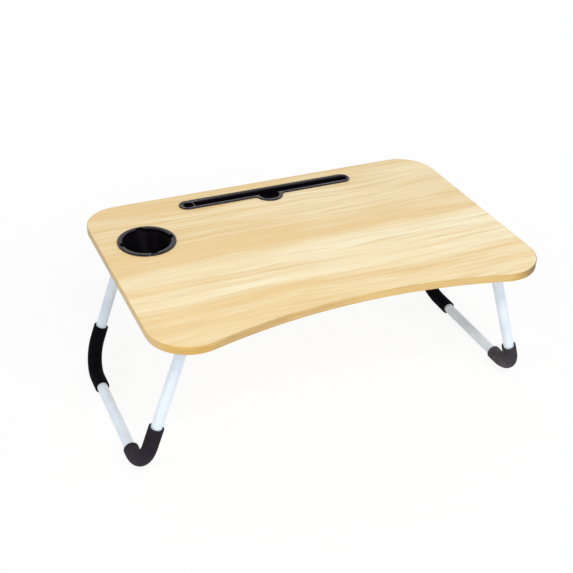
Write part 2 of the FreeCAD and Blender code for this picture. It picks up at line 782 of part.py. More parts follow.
def draw_cheeks(sketch):
    """The cheeks' side view: round under the pin, and out along the leg as far as the stop."""
    radius = value("cheek_radius")
    corners = [
        beside_leg("stop_end", "stop_inside - stop_backing"),
        beside_leg("stop_end", "stop_outside"),
        ("cheek_outboard", "base_bottom"),
        ("-cheek_inboard", "base_bottom"),
        ("-cheek_radius", "0"),
    ]
    points = [Vector(value(across), value(up), 0) for across, up in corners]
    points.insert(0, Vector(0, -radius, 0))
    lines = [add_line(sketch, point, following) for point, following in zip(points, points[1:])]
    bend = add_arc(sketch, Vector(0, 0, 0), radius, math.pi, math.pi * 3 / 2)
    for line, following in zip(lines, lines[1:]):
        sketch.addConstraint(Sketcher.Constraint("Coincident", line, END, following, START))
    for line, (across, up) in zip(lines, corners):
        place_point(sketch, line, END, across, up)
    sketch.addConstraint(Sketcher.Constraint("Coincident", lines[-1], END, bend, START))
    sketch.addConstraint(Sketcher.Constraint("Coincident", bend, END, lines[0], START))
    sketch.addConstraint(Sketcher.Constraint("Coincident", bend, CENTRE, *ORIGIN_POINT))
    sketch.addConstraint(Sketcher.Constraint("PointOnObject", bend, END, *VERTICAL_AXIS))


def make_pin(name, side, end):
    """A steel rivet through both cheeks: a domed head at one end and a formed tail at the other."""
    body = new_body(name)
    section = new_sketch(body, name + "_section", plane="XZ_Plane")
    tail = "-(cheek_outside + pin_tail_height)"
    head = "cheek_outside + pin_head_height"
    add_polygon(section, [
        ("0", tail),
        ("pin_tail_radius", tail),
        ("pin_tail_radius", "-cheek_outside"),
        ("pin_radius", "-cheek_outside"),
        ("pin_radius", "cheek_outside"),
        ("pin_head_radius", "cheek_outside"),
        ("pin_head_radius", head),
        ("0", head),
    ])
    revolve(body, section)
    heights = (value(tail), value(head))
    fillet(body, "pin_dome_radius", lambda edge: any(lies_at_height(edge, height) for height in heights))
    turn = Placement(Vector(0, 0, 0), Rotation(Vector(0, 0, 1), Vector(0, end, 0)))
    body.Placement = hinge_placement(side, end) * turn


# Groups of like pieces

def revolved_solid(corners):
    """A solid turned about Z from a closed half section of (radius, height) corners."""
    points = [Vector(across, 0, up) for across, up in corners]
    wire = Part.makePolygon(points + points[:1])
    return Part.Face(wire).revolve(Vector(0, 0, 0), Vector(0, 0, 1), 360)


def screw_solid():
    """A round-headed screw with its point up and a crossed slot in its head; Z is zero under the head."""
    shank = value("screw_radius")
    length = value("bracket_base + screw_bite")
    head = value("screw_head_radius")
    height = value("screw_head_height")
    body = revolved_solid([
        (0, -height),
        (head, -height),
        (head, 0),
        (shank, 0),
        (shank, length - value("screw_point")),
        (0, length),
    ])
    rim = [edge for edge in body.Edges if lies_at_height(edge, -height)]
    body = body.makeFillet(value("screw_dome_radius"), rim)
    slot_length = value("screw_slot_length")
    slot_width = value("screw_slot_width")
    over = value("overrun")
    for across, up in ((slot_length, slot_width), (slot_width, slot_length)):
        corner = Vector(-across / 2, -up / 2, -height - over)
        body = body.cut(Part.makeBox(across, up, value("screw_slot_depth") + over, corner))
    return body


def washer_solid():
    inner = value("pin_radius + washer_play")
    outer = value("washer_radius")
    thickness = value("washer_thickness")
    return revolved_solid([(inner, 0), (outer, 0), (outer, thickness), (inner, thickness)])


def add_group(name, solids):
    feature = doc.addObject("Part::Feature", name)
    feature.Label = name
    feature.Shape = Part.makeCompound(solids)
    feature.Placement = Placement()
    parts.append(feature)


def make_bracket_screws():
    screw = screw_solid()
    height = value("table_height - board_thickness - bracket_base")
    solids = []
    for across, up in screw_places():
        copy = screw.copy()
        copy.Placement = Placement(Vector(value(across), value(up), height), Rotation())
        solids.append(copy)
    add_group("bracket_screws", solids)


def make_friction_washers():
    """One washer on each side of the tube, on every pin."""
    washer = washer_solid()
    seat = value("tube_radius + washer_play")
    solids = []
    for side in (-1, 1):
        for end in (-1, 1):
            for face in (-1, 1):
                copy = washer.copy()
                turn = Placement(Vector(0, face * seat, 0), Rotation(Vector(0, 0, 1), Vector(0, face, 0)))
                copy.Placement = hinge_placement(side, end) * turn
                solids.append(copy)
    add_group("friction_washers", solids)


def check_and_save():
    """Every object has to be sound before any file is written."""
    doc.recompute()
    for item in doc.Objects:
        if "Invalid" in item.State or "Error" in item.State:
            raise RuntimeError("%s failed: %s" % (item.Label, item.State))
    for part in parts:
        if part.Shape.isNull() or not part.Shape.isValid():
            raise RuntimeError("%s has no valid shape" % part.Label)
    os.makedirs("parts", exist_ok=True)
    for part in parts:
        part.Shape.exportStep(os.path.join("parts", part.Label + ".step"))
        box = part.Shape.BoundBox
        print("%-26s solids %2d  volume %9.1f  x %.1f..%.1f  y %.1f..%.1f  z %.1f..%.1f" % (
            part.Label, len(part.Shape.Solids), part.Shape.Volume,
            box.XMin, box.XMax, box.YMin, box.YMax, box.ZMin, box.ZMax))


make_panel("board_core", "-laminate_thickness", "core_thickness", screwed=True)
make_panel("top_laminate", "0", "laminate_thickness", screwed=False)
make_panel("underside_laminate", "laminate_thickness - board_thickness", "laminate_thickness", screwed=True)
make_edge_band()
make_cup_holder()
make_tray()
for leg_name, leg_side in (("left", -1), ("right", 1)):
    make_leg_tube(leg_name + "_leg_tube", leg_side)
    for end_name, leg_end in (("front", -1), ("back", 1)):
        corner = end_name + "_" + leg_name
        make_sleeve(corner + "_sleeve", leg_side, leg_end)
        make_end_plug(corner + "_end_plug", leg_side, leg_end)
        make_bracket(corner + "_bracket", leg_side, leg_end)
        make_pin(corner + "_pin", leg_side, leg_end)
make_friction_washers()
make_bracket_screws()
check_and_save()
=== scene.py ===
import math

import bmesh
import bpy
from mathutils import Matrix, Vector
from mathutils.geometry import tessellate_polygon


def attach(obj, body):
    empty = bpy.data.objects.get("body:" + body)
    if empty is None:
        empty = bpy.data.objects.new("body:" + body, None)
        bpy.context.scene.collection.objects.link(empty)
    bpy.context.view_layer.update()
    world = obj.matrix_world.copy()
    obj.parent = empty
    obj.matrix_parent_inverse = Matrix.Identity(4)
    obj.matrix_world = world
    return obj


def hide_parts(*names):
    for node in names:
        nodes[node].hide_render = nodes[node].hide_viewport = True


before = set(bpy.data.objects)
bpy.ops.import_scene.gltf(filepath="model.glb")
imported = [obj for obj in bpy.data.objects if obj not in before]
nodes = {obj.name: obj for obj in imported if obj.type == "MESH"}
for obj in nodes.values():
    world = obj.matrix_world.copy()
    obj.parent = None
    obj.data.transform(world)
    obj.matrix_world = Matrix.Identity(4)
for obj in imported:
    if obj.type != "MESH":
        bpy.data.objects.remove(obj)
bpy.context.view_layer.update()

# The looks of a folding lap desk. Sizes are in metres, in the same frame as the CAD: +X to the sitter's
# right, +Y away from the sitter, +Z up, with the origin on the floor under the middle of the board.
# Each new piece lies where the CAD piece does that it replaces. Most sizes are the CAD's, but the lips of
# the cup holder and the tablet slot follow the photo more closely and lie up to 2 mm off the CAD's.

MM = 0.001
SAME_POINT = MM / 50
WELD_REACH = MM / 500
LOOK_AHEAD = MM / 2
SHARP_ANGLE = math.radians(32)

# board
TOP = 252 * MM
BOARD_THICKNESS = 12 * MM
HALF_WIDTH = 300 * MM
HALF_DEPTH = 200 * MM
BACK_RADIUS = 56 * MM
FRONT_RADIUS = 60 * MM
HOLLOW_RADIUS = 870.036 * MM
HOLLOW_CENTRE = -1038.536 * MM
BAND_THICKNESS = 0.8 * MM
BAND_ARRIS = 0.72 * MM
ARRIS_STEPS = 8

# legs
HINGE_SPREAD = 244 * MM
HINGE_HEIGHT = 225 * MM
LEG_HALF_SPACING = 139 * MM
SPLAY = math.radians(18.4)
TUBE_RADIUS = 8.2 * MM
TUBE_BORE = 7 * MM
TUBE_BORE_DEPTH = 9.6 * MM
TUBE_ROUNDING = 0.3 * MM
TUBE_END = 6.51 * MM
LEG_LENGTH = 225.21 * MM
BEND_RADIUS = 45 * MM
SLEEVE_RADIUS = 11.3 * MM
SLEEVE_BORE = 8.3 * MM
SLEEVE_BORE_DEPTH = 9 * MM
SLEEVE_ROUNDING = 0.9 * MM
SLEEVE_FLARE = 1.2 * MM
SLEEVE_FLARE_DEPTH = 2.6 * MM
TUBE_SEGMENTS = 64
SLEEVE_SEGMENTS = 72
SLEEVE_STEPS = 170

# How far each sleeve reaches from its bend: up the leg, and along the foot bar.
SLEEVE_REACHES = {
    "front_left": (33 * MM, 8 * MM),
    "back_left": (25 * MM, 26 * MM),
    "front_right": (16 * MM, 14 * MM),
    "back_right": (16 * MM, 33 * MM),
}

# The creases inside a bend: how far round it they lie, and how deep they are, both as shares.
CREASE_SHARES = [(0.2, 0.5), (0.36, 0.9), (0.5, 1.0), (0.63, 0.8), (0.8, 0.6)]
CREASE_DEPTH = 0.5 * MM
CREASE_WIDTH = 1.5 * MM

# cup holder; the lists run along its section as (radius, height above the board) in millimetres
CUP_CENTRE = (-228.8 * MM, 77.9 * MM)
CUP_FLOOR_RADIUS = 31 * MM
CUP_NOTCH_HALF = 5.25 * MM
CUP_NOTCH_DRAFT = 0.25 * MM
CUP_OUTSIDE = [
    (8, -47), (32.8, -47), (34.3, -46.7), (35.6, -45.8), (36.5, -44.5), (36.8, -43), (36.8, -6),
    (40.8, -6), (40.8, 0), (43.8, 0), (43.8, 0.6), (43.8, 1.2), (43.7, 1.48), (43.45, 1.7), (43, 1.86),
    (42.3, 1.96), (41.4, 2.0), (40.4, 1.99),
]
CUP_SHOULDER = [(39.2, 1.93), (38, 1.8), (37, 1.62), (36.6, 1.35), (36.4, 0.9), (36.3, -1.5), (35.9, -5)]
CUP_NOTCH = [(40.3, 1.8), (40.2, 1.5), (40.2, 0.2), (40.2, -2.2), (40.1, -3.6), (39.3, -4.2), (36, -4.6)]
CUP_INSIDE = [(35, -12), (35, -41), (34.7, -42.5), (33.8, -43.8), (32.5, -44.7), (31, -45), (8, -45)]
NOTCH_STEPS = 4
SHOULDER_STEPS = 20

# tablet slot; the rims are pairs of a distance from the outline and a height, in millimetres
TRAY_MIDDLE = 162.8 * MM
TRAY_END = 135.5 * MM
TRAY_HALF_WIDTH = 13.7 * MM
TRAY_SHELL_INSET = 3.2 * MM
LOBE_MIDDLE = 152.6 * MM
LOBE_RADIUS = 22.6 * MM
LOBE_BLEND = 6 * MM
LOBE_DEPTH = 9.6 * MM
SLOT_DEPTH = 14.6 * MM
CHANNEL_MIDDLE = 162.2 * MM
CHANNEL_HALF_WIDTH = 7 * MM
CHANNEL_LEFT = -124 * MM
CHANNEL_END = 138 * MM
CHANNEL_DEPTH = 13 * MM
THUMB_RADIUS = 16.6 * MM
THUMB_DEPTH = 8 * MM
PEN_CENTRE = (-134 * MM, 162.2 * MM)
PEN_RADIUS = 8.2 * MM
PEN_DEPTH = 28 * MM
PEN_WALL = 1.6 * MM
TRAY_RIM = [
    (0, 0), (0, 0.6), (0, 1.2), (0.12, 1.5), (0.4, 1.75), (0.9, 1.93), (1.5, 2.0), (2.2, 1.97), (2.9, 1.87),
]
OPENING_RIM = [(0.5, 1.15), (0.3, 1.09), (0.12, 0.93), (0, 0.65), (0, 0.1)]


# Meshes

def add_piece(name, points, faces, smooth=True):
    mesh = bpy.data.meshes.new(name)
    mesh.from_pydata([tuple(point) for point in points], [], faces)
    mesh.validate()
    for polygon in mesh.polygons:
        polygon.use_smooth = smooth
    piece = bpy.data.objects.new(name, mesh)
    bpy.context.scene.collection.objects.link(piece)
    return piece


def arc(centre, radius, first, last, count):
    """Points on an arc, from the first angle to the last."""
    points = []
    for step in range(count + 1):
        angle = first + (last - first) * step / count
        points.append((centre[0] + radius * math.cos(angle), centre[1] + radius * math.sin(angle)))
    return points


def straight(first, last, count):
    """Points between two ends, with both ends."""
    return [(first[0] + (last[0] - first[0]) * step / count, first[1] + (last[1] - first[1]) * step / count)
            for step in range(count + 1)]


def bridge(rings, ring_length, closed_along=False):
    """Quads between closed rings that follow one another, and also from the last to the first if closed."""
    faces = []
    for row in range(rings if closed_along else rings - 1):
        here = row * ring_length
        after = (row + 1) % rings * ring_length
        for place in range(ring_length):
            beside = (place + 1) % ring_length
            faces.append((here + place, here + beside, after + beside, after + place))
    return faces


class Shell:
    """A closed skin that is gathered ring by ring and welded at the end."""

    def __init__(self):
        self.points = []
        self.faces = []

    def add(self, points):
        """Take a ring's points in, and give their numbers."""
        start = len(self.points)
        self.points += points
        return list(range(start, len(self.points)))

    def ring(self, outline, height):
        return self.add([(across, along, height) for across, along in outline])

    def wall(self, first, second, closed=True):
        """Quads between two rings, or between two runs that are left open."""
        count = len(first)
        for place in range(count if closed else count - 1):
            after = (place + 1) % count
            self.faces.append((first[place], first[after], second[after], second[place]))

    def walls(self, rings):
        for first, second in zip(rings, rings[1:]):
            self.wall(first, second)

    def fill(self, *rings):
        """A sheet inside the first ring and outside the others."""
        loops = [[Vector(self.points[index]).to_2d().to_3d() for index in ring] for ring in rings]
        order = [index for ring in rings for index in ring]
        for corners in tessellate_polygon(loops):
            self.faces.append(tuple(order[corner] for corner in corners))

    def make_piece(self, name):
        piece = add_piece(name, self.points, self.faces)
        skin = bmesh.new()
        skin.from_mesh(piece.data)
        bmesh.ops.remove_doubles(skin, verts=skin.verts, dist=WELD_REACH)
        bmesh.ops.recalc_face_normals(skin, faces=skin.faces)
        skin.to_mesh(piece.data)
        skin.free()
        piece.data.set_sharp_from_angle(angle=SHARP_ANGLE)
        return piece


# The board's edge

def board_outline(inset):
    """The board's outline, counterclockwise seen from above, with no point twice."""
    side = HALF_WIDTH - BACK_RADIUS
    back = HALF_DEPTH - BACK_RADIUS
    across = HALF_WIDTH - FRONT_RADIUS
    front = -(HALF_DEPTH - FRONT_RADIUS)
    lean = math.atan2(front - HOLLOW_CENTRE, across)
    radius = FRONT_RADIUS - inset
    runs = [
        arc((side, back), BACK_RADIUS - inset, 0, math.pi / 2, 24),
        arc((-side, back), BACK_RADIUS - inset, math.pi / 2, math.pi, 24),
        arc((-across, front), radius, math.pi, 2 * math.pi - lean, 32),
        arc((0, HOLLOW_CENTRE), HOLLOW_RADIUS + inset, math.pi - lean, lean, 64),
        arc((across, front), radius, math.pi + lean, 2 * math.pi, 32),
    ]
    points = []
    for run in runs:
        for point in run:
            if not points or math.dist(points[-1], point) > SAME_POINT:
                points.append(point)
    return points


def band_profile():
    """The edge strip's section as (inset, height), from the top round both arrises to the bottom."""
    bottom = TOP - BOARD_THICKNESS
    quarter = []
    for step in range(ARRIS_STEPS + 1):
        angle = math.pi / 2 * step / ARRIS_STEPS
        quarter.append((BAND_ARRIS * (1 - math.cos(angle)), BAND_ARRIS * (1 - math.sin(angle))))
    upper = [(inset, TOP - drop) for inset, drop in reversed(quarter)]
    lower = [(inset, bottom + rise) for inset, rise in quarter]
    return [(BAND_THICKNESS, TOP), *upper, *lower, (BAND_THICKNESS, bottom)]


def make_edge_band():
    """A thin strip round the board with both arrises rounded, and its length along the board as U."""
    profile = band_profile()
    outlines = [board_outline(inset) for inset, height in profile]
    count = len(outlines[0])
    width = len(profile)
    points = []
    for place in range(count):
        for outline, (inset, height) in zip(outlines, profile):
            points.append((*outline[place], height))
    piece = add_piece("edge_trim", points, bridge(count, width, closed_along=True))

    lengths = [0]
    outline = board_outline(0)
    for place in range(count):
        lengths.append(lengths[-1] + math.dist(outline[place], outline[(place + 1) % count]))
    uv = piece.data.uv_layers.new(name="along_edge")
    for polygon in piece.data.polygons:
        rows = [piece.data.loops[index].vertex_index // width for index in polygon.loop_indices]
        for index, row in zip(polygon.loop_indices, rows):
            vertex = piece.data.vertices[piece.data.loops[index].vertex_index]
            wraps = row == 0 and count - 1 in rows
            uv.data[index].uv = (lengths[count] if wraps else lengths[row], vertex.co.z)
    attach(piece, "tabletop")
    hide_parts("edge_band")
    return piece


# The black inserts

def cup_ring(plain, notched):
    """One ring of the cup's skin. In the four notches it takes the notched place."""
    corners = []
    for quarter in range(4):
        turn = quarter * math.pi / 2
        radius = notched[0] * MM
        for step in range(-NOTCH_STEPS, NOTCH_STEPS + 1):
            angle = turn + math.asin(CUP_NOTCH_HALF * step / NOTCH_STEPS / max(radius, CUP_FLOOR_RADIUS))
            corners.append((radius, angle, notched[1]))
        radius = plain[0] * MM
        edge = math.asin((CUP_NOTCH_HALF + CUP_NOTCH_DRAFT) / max(radius, CUP_FLOOR_RADIUS))
        for step in range(SHOULDER_STEPS + 1):
            angle = turn + edge + (math.pi / 2 - 2 * edge) * step / SHOULDER_STEPS
            corners.append((radius, angle, plain[1]))
    points = []
    for radius, angle, height in corners:
        across = CUP_CENTRE[0] + radius * math.cos(angle)
        along = CUP_CENTRE[1] + radius * math.sin(angle)
        points.append((across, along, TOP + height * MM))
    return points


def make_cup():
    """The cup's well, with a stepped and beaded lip and four soft notches round its shoulder."""
    section = [(place, place) for place in CUP_OUTSIDE]
    section += zip(CUP_SHOULDER, CUP_NOTCH)
    section += [(place, place) for place in CUP_INSIDE]
    shell = Shell()
    rings = [shell.add(cup_ring(plain, notched)) for plain, notched in section]
    shell.walls(rings)
    shell.fill(rings[0])
    shell.fill(rings[-1])
    piece = shell.make_piece("cup_well")
    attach(piece, "tabletop")
    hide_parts("cup_holder")
    return piece


def tray_outline(inset):
    """The slot's outline without its front bulge, and the bulge for the thumb, both counterclockwise."""
    half = TRAY_HALF_WIDTH - inset
    front = TRAY_MIDDLE - half
    back = TRAY_MIDDLE + half
    blend = LOBE_BLEND + inset
    lobe = LOBE_RADIUS - inset
    rise = LOBE_MIDDLE - front + blend
    across = math.sqrt((lobe + blend) ** 2 - rise ** 2)
    lean = math.atan2(rise, across)
    slot = straight((across, front), (TRAY_END, front), 16)
    slot += arc((TRAY_END, TRAY_MIDDLE), half, -math.pi / 2, math.pi / 2, 28)[1:]
    slot += straight((TRAY_END, back), (-TRAY_END, back), 40)[1:]
    slot += arc((-TRAY_END, TRAY_MIDDLE), half, math.pi / 2, 3 * math.pi / 2, 28)[1:]
    slot += straight((-TRAY_END, front), (-across, front), 16)[1:]
    bulge = arc((-across, front - blend), blend, math.pi / 2, lean, 8)
    bulge += arc((0, LOBE_MIDDLE), lobe, math.pi + lean, 2 * math.pi - lean, 32)[1:]
    bulge += arc((across, front - blend), blend, math.pi - lean, math.pi / 2, 8)[1:]
    return slot, bulge


def channel_outline(growth):
    """The channel's outline without the thumb notch, and the notch's, both counterclockwise."""
    half = CHANNEL_HALF_WIDTH + growth
    front = CHANNEL_MIDDLE - half
    back = CHANNEL_MIDDLE + half
    left = CHANNEL_LEFT - growth
    radius = THUMB_RADIUS + growth
    rise = front - LOBE_MIDDLE
    across = math.sqrt(radius ** 2 - rise ** 2)
    lean = math.atan2(rise, across)
    channel = straight((across, front), (CHANNEL_END, front), 16)
    channel += arc((CHANNEL_END, CHANNEL_MIDDLE), half, -math.pi / 2, math.pi / 2, 20)[1:]
    channel += straight((CHANNEL_END, back), (left, back), 40)[1:]
    channel += straight((left, back), (left, front), 6)[1:]
    channel += straight((left, front), (-across, front), 16)[1:]
    notch = arc((0, LOBE_MIDDLE), radius, math.pi - lean, 2 * math.pi + lean, 36)
    return channel, notch


def joined(outline):
    """One ring from an outline's two runs."""
    main, bulge = outline
    return main + bulge[1:-1]


def pen_outline(growth):
    return arc(PEN_CENTRE, PEN_RADIUS + growth, 0, 2 * math.pi, 40)[:-1]


def make_tray():
    """The tablet slot. Its face slopes from a beaded rim to the channel, the thumb notch and the pen hole."""
    shell = Shell()
    rim = [shell.ring(joined(tray_outline(inset * MM)), TOP + height * MM) for inset, height in TRAY_RIM]
    channel_rim = [shell.ring(joined(channel_outline(growth * MM)), TOP + height * MM)
                   for growth, height in OPENING_RIM]
    pen_rim = [shell.ring(pen_outline(growth * MM), TOP + height * MM) for growth, height in OPENING_RIM]
    pen_rim.append(shell.ring(pen_outline(0), TOP - PEN_DEPTH))
    for rings in (rim, channel_rim, pen_rim):
        shell.walls(rings)
    shell.fill(rim[-1], channel_rim[0], pen_rim[0])
    shell.fill(pen_rim[-1])
    lip = TOP + OPENING_RIM[-1][1] * MM

    def sink(run, depth):
        """The wall below a run of the opening, and the floor at its foot."""
        foot = shell.ring(run, TOP - depth)
        shell.wall(shell.ring(run, lip), foot, closed=False)
        shell.fill(foot)

    # inside: the thumb notch ends above the channel's floor, and a step joins the two floors
    channel, notch = channel_outline(0)
    sink(channel, CHANNEL_DEPTH)
    ends = [channel[0], channel[-1]]
    shell.wall(shell.ring(ends, TOP - THUMB_DEPTH), shell.ring(ends, TOP - CHANNEL_DEPTH), closed=False)
    sink(notch, THUMB_DEPTH)

    # outside: the skirt hangs in the board's hole, and the pen well hangs from the slot's bottom
    slot, bulge = tray_outline(TRAY_SHELL_INSET)
    seat = shell.ring(joined((slot, bulge)), TOP)
    shell.wall(rim[0], seat)
    slot_foot = shell.ring(slot, TOP - SLOT_DEPTH)
    bulge_foot = shell.ring(bulge, TOP - LOBE_DEPTH)
    shell.wall(shell.ring(slot, TOP), slot_foot, closed=False)
    shell.wall(shell.ring(bulge, TOP), bulge_foot, closed=False)
    ends = [slot[0], slot[-1]]
    shell.wall(shell.ring(ends, TOP - LOBE_DEPTH), shell.ring(ends, TOP - SLOT_DEPTH), closed=False)
    well_top = shell.ring(pen_outline(PEN_WALL), TOP - SLOT_DEPTH)
    well_foot = shell.ring(pen_outline(PEN_WALL), TOP - PEN_DEPTH - PEN_WALL)
    shell.wall(well_top, well_foot)
    shell.fill(slot_foot, well_top)
    shell.fill(bulge_foot)
    shell.fill(well_foot)

    piece = shell.make_piece("slot_tray")
    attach(piece, "tabletop")
    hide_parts("tablet_slot_tray")
    return piece


# Legs

def leg_point(side, along, up):
    """A point in a leg's plane: so far behind its middle, and so far up it from the hinge.

    The side is -1 for the left leg and 1 for the right one.
    """
    return Vector((side * (HINGE_SPREAD - up * math.sin(SPLAY)), along, HINGE_HEIGHT + up * math.cos(SPLAY)))


def leg_path(side):
    """The points of the tube's centre line, from its front end to its back end."""
    half_bar = LEG_HALF_SPACING - BEND_RADIUS
    foot = -LEG_LENGTH + BEND_RADIUS
    flat = straight((-LEG_HALF_SPACING, TUBE_END), (-LEG_HALF_SPACING, foot), 25)
    flat += arc((-half_bar, foot), BEND_RADIUS, math.pi, 3 * math.pi / 2, 24)[1:]
    flat += straight((-half_bar, -LEG_LENGTH), (half_bar, -LEG_LENGTH), 20)[1:]
    flat += arc((half_bar, foot), BEND_RADIUS, -math.pi / 2, 0, 24)[1:]
    flat += straight((LEG_HALF_SPACING, foot), (LEG_HALF_SPACING, TUBE_END), 25)[1:]
    return [leg_point(side, along, up) for along, up in flat]


def path_lengths(path):
    """The distance along a path at each of its points."""
    lengths = [0]
    for before, after in zip(path, path[1:]):
        lengths.append(lengths[-1] + (after - before).length)
    return lengths


def place_on_path(path, lengths, distance):
    """The point and the direction at a distance along a path."""
    distance = min(max(distance, 0), lengths[-1])
    for place in range(len(path) - 1):
        if distance <= lengths[place + 1] or place == len(path) - 2:
            run = path[place + 1] - path[place]
            share = (distance - lengths[place]) / run.length
            return path[place] + run * share, run.normalized()


def sweep(name, path, stations, normal, segments, dent=None):
    """A skin of rings round a path, one for each (distance along the path, radius), pressed in by dent."""
    lengths = path_lengths(path)
    points = []
    for distance, radius in stations:
        centre = place_on_path(path, lengths, distance)[0]
        ahead = place_on_path(path, lengths, distance + LOOK_AHEAD)[1]
        behind = place_on_path(path, lengths, distance - LOOK_AHEAD)[1]
        forward = (ahead + behind).normalized()
        across = normal.cross(forward).normalized()
        for step in range(segments):
            angle = 2 * math.pi * step / segments
            reach = radius - dent(distance, angle) if dent else radius
            points.append(centre + (across * math.cos(angle) + normal * math.sin(angle)) * reach)
    piece = add_piece(name, points, bridge(len(stations), segments))
    uv = piece.data.uv_layers.new(name="along_tube")
    for polygon in piece.data.polygons:
        corners = [piece.data.loops[index].vertex_index for index in polygon.loop_indices]
        wraps = any(corner % segments == segments - 1 for corner in corners)
        for index, corner in zip(polygon.loop_indices, corners):
            turn = corner % segments
            around = segments if wraps and turn == 0 else turn
            uv.data[index].uv = (stations[corner // segments][0],
                                 around / segments * 2 * math.pi * SLEEVE_RADIUS)
    return piece


def make_leg(side, word):
    """A leg's bent tube, open at both ends, and the sleeves on its two foot bends."""
    path = leg_path(side)
    lengths = path_lengths(path)
    end = lengths[-1]
    normal = Vector((math.cos(SPLAY), 0, side * math.sin(SPLAY)))
    mouth = [
        (TUBE_BORE_DEPTH, TUBE_BORE), (0, TUBE_BORE), (0, TUBE_RADIUS - TUBE_ROUNDING),
        (TUBE_ROUNDING, TUBE_RADIUS),
    ]
    stations = mouth + [(length, TUBE_RADIUS) for length in lengths[1:-1]]
    stations += [(end - distance, radius) for distance, radius in reversed(mouth)]
    tube = sweep(word + "_tube", path, stations, normal, TUBE_SEGMENTS)
    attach(tube, word + "_leg")
    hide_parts(word + "_leg_tube")
    bend_start = TUBE_END + LEG_LENGTH - BEND_RADIUS
    bend_length = BEND_RADIUS * math.pi / 2
    sleeves = []
    for end_word in ("front", "back"):
        upright, bar = SLEEVE_REACHES[end_word + "_" + word]
        first = bend_start - upright
        last = bend_start + bend_length + bar
        bend = (bend_start, bend_start + bend_length)
        if end_word == "back":
            first, last = end - last, end - first
            bend = (end - bend[1], end - bend[0])
        sleeves.append(make_sleeve(end_word + "_" + word, word, path, normal, first, last, *bend))
    return tube, sleeves


def make_sleeve(name, word, path, normal, first, last, bend_first, bend_last):
    """A foam sleeve with rounded rims and a flared bore, and with soft creases inside the bend."""
    rim = [(first + SLEEVE_BORE_DEPTH, SLEEVE_BORE), (first + SLEEVE_FLARE_DEPTH, SLEEVE_BORE)]
    for step in range(1, 5):
        angle = math.pi / 2 * step / 4
        rim.append((first + SLEEVE_FLARE_DEPTH * (1 - math.sin(angle)),
                    SLEEVE_BORE + SLEEVE_FLARE * (1 - math.cos(angle))))
    for step in range(7):
        angle = math.pi / 2 * step / 6
        rim.append((first + SLEEVE_ROUNDING * (1 - math.cos(angle)),
                    SLEEVE_RADIUS - SLEEVE_ROUNDING * (1 - math.sin(angle))))
    middle_first = first + SLEEVE_ROUNDING
    middle_last = last - SLEEVE_ROUNDING
    middle = [(middle_first + (middle_last - middle_first) * step / SLEEVE_STEPS, SLEEVE_RADIUS)
              for step in range(1, SLEEVE_STEPS)]
    mirrored = [(first + last - distance, radius) for distance, radius in reversed(rim)]

    def crease(distance, angle):
        """How far the skin is pressed in. It is deepest on the bend's inner side."""
        inner_share = max(math.cos(angle), 0) ** 3
        total = 0
        for place_share, depth_share in CREASE_SHARES:
            away = distance - bend_first - (bend_last - bend_first) * place_share
            total += depth_share * math.exp(-(away / CREASE_WIDTH) ** 2)
        return CREASE_DEPTH * total * inner_share

    piece = sweep(name + "_foam", path, rim + middle + mirrored, normal, SLEEVE_SEGMENTS, dent=crease)
    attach(piece, word + "_leg")
    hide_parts(name + "_sleeve")
    return piece


# Nodes. The owner of a node is a material or the world.

WHITE = (1, 1, 1, 1)

# Nearly all of a noise lies between these two values.
NOISE_LOW = 0.3
NOISE_HIGH = 0.7

# The Mix node's colour sockets have no names of their own, only numbers.
MIX_FIRST = 6
MIX_SECOND = 7
MIX_RESULT = 2


def colour(red, green, blue):
    """A colour that is written as it looks on a screen, from 0 to 255."""
    shares = []
    for level in (red, green, blue):
        share = level / 255
        shares.append(share / 12.92 if share <= 0.04045 else ((share + 0.055) / 1.055) ** 2.4)
    return (*shares, 1)


def new_material(name):
    material = bpy.data.materials.new(name)
    material.use_nodes = True
    return material, material.node_tree.nodes["Principled BSDF"]


def add_node(owner, kind, inputs=None, **settings):
    """A shader node. An input is a plain value or another node's output."""
    made = owner.node_tree.nodes.new("ShaderNode" + kind)
    for name, setting in settings.items():
        setattr(made, name, setting)
    for name, given in (inputs or {}).items():
        if isinstance(given, bpy.types.NodeSocket):
            owner.node_tree.links.new(given, made.inputs[name])
        else:
            made.inputs[name].default_value = given
    return made


def link(material, output, shader, name):
    material.node_tree.links.new(output, shader.inputs[name])


def object_place(material):
    """Where a point of the surface lies in its piece's own frame, in metres."""
    return add_node(material, "TexCoord").outputs["Object"]


def noise(material, source, scale, detail=3, roughness=0.5):
    """A soft noise. Three scales draw it out by a different scale along each axis."""
    if isinstance(scale, tuple):
        source = add_node(material, "Mapping", {"Vector": source, "Scale": scale}).outputs["Vector"]
        scale = 1
    made = add_node(material, "TexNoise", {"Vector": source, "Scale": scale, "Detail": detail,
                                           "Roughness": roughness})
    return made.outputs["Fac"]


def calculate(owner, operation, first, *others):
    """The first value, with each of the others added to it, multiplied by it and so on, in their order."""
    for other in others:
        first = add_node(owner, "Math", {0: first, 1: other}, operation=operation).outputs["Value"]
    return first


def spread(owner, source, low, high, new_low=0, new_high=1):
    """Stretch the range between low and high to the new range, and cut off what is beyond it."""
    made = add_node(owner, "MapRange", {"Value": source, "From Min": low, "From Max": high,
                                        "To Min": new_low, "To Max": new_high})
    return made.outputs["Result"]


def vary(material, source, low, high):
    """A value that runs from low to high with a noise."""
    return spread(material, source, NOISE_LOW, NOISE_HIGH, low, high)


def blend(material, share, first, second, kind="MIX"):
    """A colour between two by a share, or their product where the kind is MULTIPLY."""
    made = add_node(material, "Mix", {0: share, MIX_FIRST: first, MIX_SECOND: second},
                    data_type="RGBA", blend_type=kind)
    return made.outputs[MIX_RESULT]


def mix_shaders(owner, share, first, second):
    return add_node(owner, "MixShader", {0: share, 1: first, 2: second}).outputs["Shader"]


